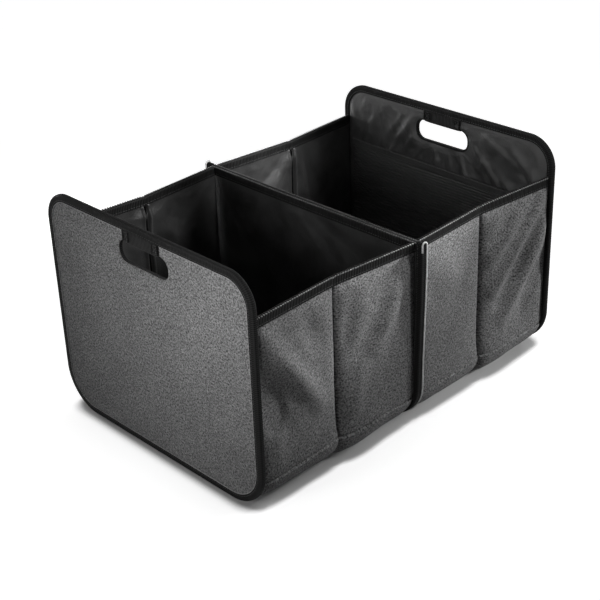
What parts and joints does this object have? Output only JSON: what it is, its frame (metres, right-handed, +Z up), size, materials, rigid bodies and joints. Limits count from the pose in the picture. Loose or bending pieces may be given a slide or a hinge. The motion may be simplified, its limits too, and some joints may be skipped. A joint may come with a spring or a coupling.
{
  "type": "folding storage box",
  "caption": "Two-compartment fabric box with stiff end panels and hand slots, whose creased walls and floor fold flat towards the divider.",
  "frame": {"origin": "centre of the bounding box's underside, on the ground under the divider", "axes": "+X along the box's length, the pictured near end panel at -X; +Y towards the rear wall, the pictured front wall at -Y; +Z up"},
  "size_m": [0.5, 0.366, 0.285],
  "materials": {
    "grey_melange_fabric": "matte woven melange",
    "black_nylon_lining": "satin nylon",
    "black_binding_tape": "ribbed tape",
    "black_webbing": "woven webbing",
    "black_ribbed_fabric": "ribbed",
    "stiffener_board": "plain board, hidden"
  },
  "bodies": {
    "divider": {"divider_board": "stiffener_board", "divider_cover": "black_nylon_lining", "divider_top_tape": "black_binding_tape", "divider_seam_tape": "black_binding_tape", "left_inner_base_fabric": "grey_melange_fabric", "right_inner_base_fabric": "grey_melange_fabric"},
    "left_end": {"left_end_board": "stiffener_board", "left_end_cover": "grey_melange_fabric", "left_end_lining": "black_nylon_lining", "left_end_edge_tape": "black_binding_tape", "left_end_grip": "black_webbing", "left_outer_base_fabric": "grey_melange_fabric"},
    "left_front_inner_wall": {"left_front_inner_wall_board": "stiffener_board", "left_front_inner_wall_cover": "grey_melange_fabric", "left_front_inner_wall_lining": "black_nylon_lining", "left_front_inner_wall_top_tape": "black_binding_tape"},
    "left_rear_inner_wall": {"left_rear_inner_wall_board": "stiffener_board", "left_rear_inner_wall_cover": "grey_melange_fabric", "left_rear_inner_wall_lining": "black_nylon_lining", "left_rear_inner_wall_top_tape": "black_binding_tape"},
    "left_inner_floor": {"left_inner_floor_board": "stiffener_board", "left_inner_floor_lining": "black_nylon_lining"},
    "left_front_outer_wall": {"left_front_outer_wall_board": "stiffener_board", "left_front_outer_wall_cover": "grey_melange_fabric", "left_front_outer_wall_lining": "black_nylon_lining", "left_front_outer_wall_top_tape": "black_binding_tape"},
    "left_rear_outer_wall": {"left_rear_outer_wall_board": "stiffener_board", "left_rear_outer_wall_cover": "grey_melange_fabric", "left_rear_outer_wall_lining": "black_nylon_lining", "left_rear_outer_wall_top_tape": "black_binding_tape"},
    "left_outer_floor": {"left_outer_floor_board": "stiffener_board", "left_outer_floor_lining": "black_nylon_lining"},
    "right_end": {"right_end_board": "stiffener_board", "right_end_cover": "grey_melange_fabric", "right_end_lining": "black_nylon_lining", "right_end_edge_tape": "black_binding_tape", "right_end_grip": "black_webbing", "right_end_pocket": "black_ribbed_fabric", "right_outer_base_fabric": "grey_melange_fabric"},
    "right_front_inner_wall": {"right_front_inner_wall_board": "stiffener_board", "right_front_inner_wall_cover": "grey_melange_fabric", "right_front_inner_wall_lining": "black_nylon_lining", "right_front_inner_wall_top_tape": "black_binding_tape"},
    "right_rear_inner_wall": {"right_rear_inner_wall_board": "stiffener_board", "right_rear_inner_wall_cover": "grey_melange_fabric", "right_rear_inner_wall_lining": "black_nylon_lining", "right_rear_inner_wall_top_tape": "black_binding_tape"},
    "right_inner_floor": {"right_inner_floor_board": "stiffener_board", "right_inner_floor_lining": "black_nylon_lining"},
    "right_front_outer_wall": {"right_front_outer_wall_board": "stiffener_board", "right_front_outer_wall_cover": "grey_melange_fabric", "right_front_outer_wall_lining": "black_nylon_lining", "right_front_outer_wall_top_tape": "black_binding_tape"},
    "right_rear_outer_wall": {"right_rear_outer_wall_board": "stiffener_board", "right_rear_outer_wall_cover": "grey_melange_fabric", "right_rear_outer_wall_lining": "black_nylon_lining", "right_rear_outer_wall_top_tape": "black_binding_tape"},
    "right_outer_floor": {"right_outer_floor_board": "stiffener_board", "right_outer_floor_lining": "black_nylon_lining"}
  },
  "joints": [
    {"name": "left_front_wall_fold", "type": "hinge", "parent": "divider", "child": "left_front_inner_wall", "pos_m": [-0.00355, -0.16547, 0.1425], "axis": [0, 0, -1], "range_deg": [0, 84], "deforming": ["left_inner_base_fabric"]},
    {"name": "left_front_wall_crease", "type": "hinge", "parent": "left_front_inner_wall", "child": "left_front_outer_wall", "pos_m": [-0.12305, -0.16275, 0.1425], "axis": [0, 0, 1], "range_deg": [0, 168]},
    {"name": "left_end_hinge", "type": "hinge", "parent": "left_front_outer_wall", "child": "left_end", "pos_m": [-0.24255, -0.16547, 0.1425], "axis": [0, 0, -1], "range_deg": [0, 84], "deforming": ["left_outer_base_fabric"]},
    {"name": "left_rear_wall_fold", "type": "hinge", "parent": "divider", "child": "left_rear_inner_wall", "pos_m": [-0.00355, 0.16547, 0.1425], "axis": [0, 0, 1], "range_deg": [0, 84]},
    {"name": "left_rear_wall_crease", "type": "hinge", "parent": "left_rear_inner_wall", "child": "left_rear_outer_wall", "pos_m": [-0.12305, 0.16275, 0.1425], "axis": [0, 0, -1], "range_deg": [0, 168]},
    {"name": "left_floor_fold", "type": "hinge", "parent": "divider", "child": "left_inner_floor", "pos_m": [-0.00355, 0, 0.0078], "axis": [0, 1, 0], "range_deg": [0, 88.3]},
    {"name": "left_floor_crease", "type": "hinge", "parent": "left_inner_floor", "child": "left_outer_floor", "pos_m": [-0.11955, 0, 0.0038], "axis": [0, -1, 0], "range_deg": [0, 176.6]},
    {"name": "right_front_wall_fold", "type": "hinge", "parent": "divider", "child": "right_front_inner_wall", "pos_m": [0.00355, -0.16547, 0.1425], "axis": [0, 0, 1], "range_deg": [0, 84], "deforming": ["right_inner_base_fabric"]},
    {"name": "right_front_wall_crease", "type": "hinge", "parent": "right_front_inner_wall", "child": "right_front_outer_wall", "pos_m": [0.12305, -0.16275, 0.1425], "axis": [0, 0, -1], "range_deg": [0, 168]},
    {"name": "right_end_hinge", "type": "hinge", "parent": "right_front_outer_wall", "child": "right_end", "pos_m": [0.24255, -0.16547, 0.1425], "axis": [0, 0, 1], "range_deg": [0, 84], "deforming": ["right_outer_base_fabric"]},
    {"name": "right_rear_wall_fold", "type": "hinge", "parent": "divider", "child": "right_rear_inner_wall", "pos_m": [0.00355, 0.16547, 0.1425], "axis": [0, 0, -1], "range_deg": [0, 84]},
    {"name": "right_rear_wall_crease", "type": "hinge", "parent": "right_rear_inner_wall", "child": "right_rear_outer_wall", "pos_m": [0.12305, 0.16275, 0.1425], "axis": [0, 0, 1], "range_deg": [0, 168]},
    {"name": "right_floor_fold", "type": "hinge", "parent": "divider", "child": "right_inner_floor", "pos_m": [0.00355, 0, 0.0078], "axis": [0, -1, 0], "range_deg": [0, 88.3]},
    {"name": "right_floor_crease", "type": "hinge", "parent": "right_inner_floor", "child": "right_outer_floor", "pos_m": [0.11955, 0, 0.0038], "axis": [0, 1, 0], "range_deg": [0, 176.6]}
  ],
  "couplings": [
    {"joint": "left_front_wall_crease", "follows": "left_front_wall_fold", "ratio": 2},
    {"joint": "left_end_hinge", "follows": "left_front_wall_fold", "ratio": 1},
    {"joint": "left_rear_wall_fold", "follows": "left_front_wall_fold", "ratio": 1},
    {"joint": "left_rear_wall_crease", "follows": "left_front_wall_fold", "ratio": 2},
    {"joint": "left_floor_fold", "follows": "left_front_wall_fold", "ratio": 1.0511},
    {"joint": "left_floor_crease", "follows": "left_front_wall_fold", "ratio": 2.1022},
    {"joint": "right_front_wall_crease", "follows": "right_front_wall_fold", "ratio": 2},
    {"joint": "right_end_hinge", "follows": "right_front_wall_fold", "ratio": 1},
    {"joint": "right_rear_wall_fold", "follows": "right_front_wall_fold", "ratio": 1},
    {"joint": "right_rear_wall_crease", "follows": "right_front_wall_fold", "ratio": 2},
    {"joint": "right_floor_fold", "follows": "right_front_wall_fold", "ratio": 1.0511},
    {"joint": "right_floor_crease", "follows": "right_front_wall_fold", "ratio": 2.1022}
  ]
}
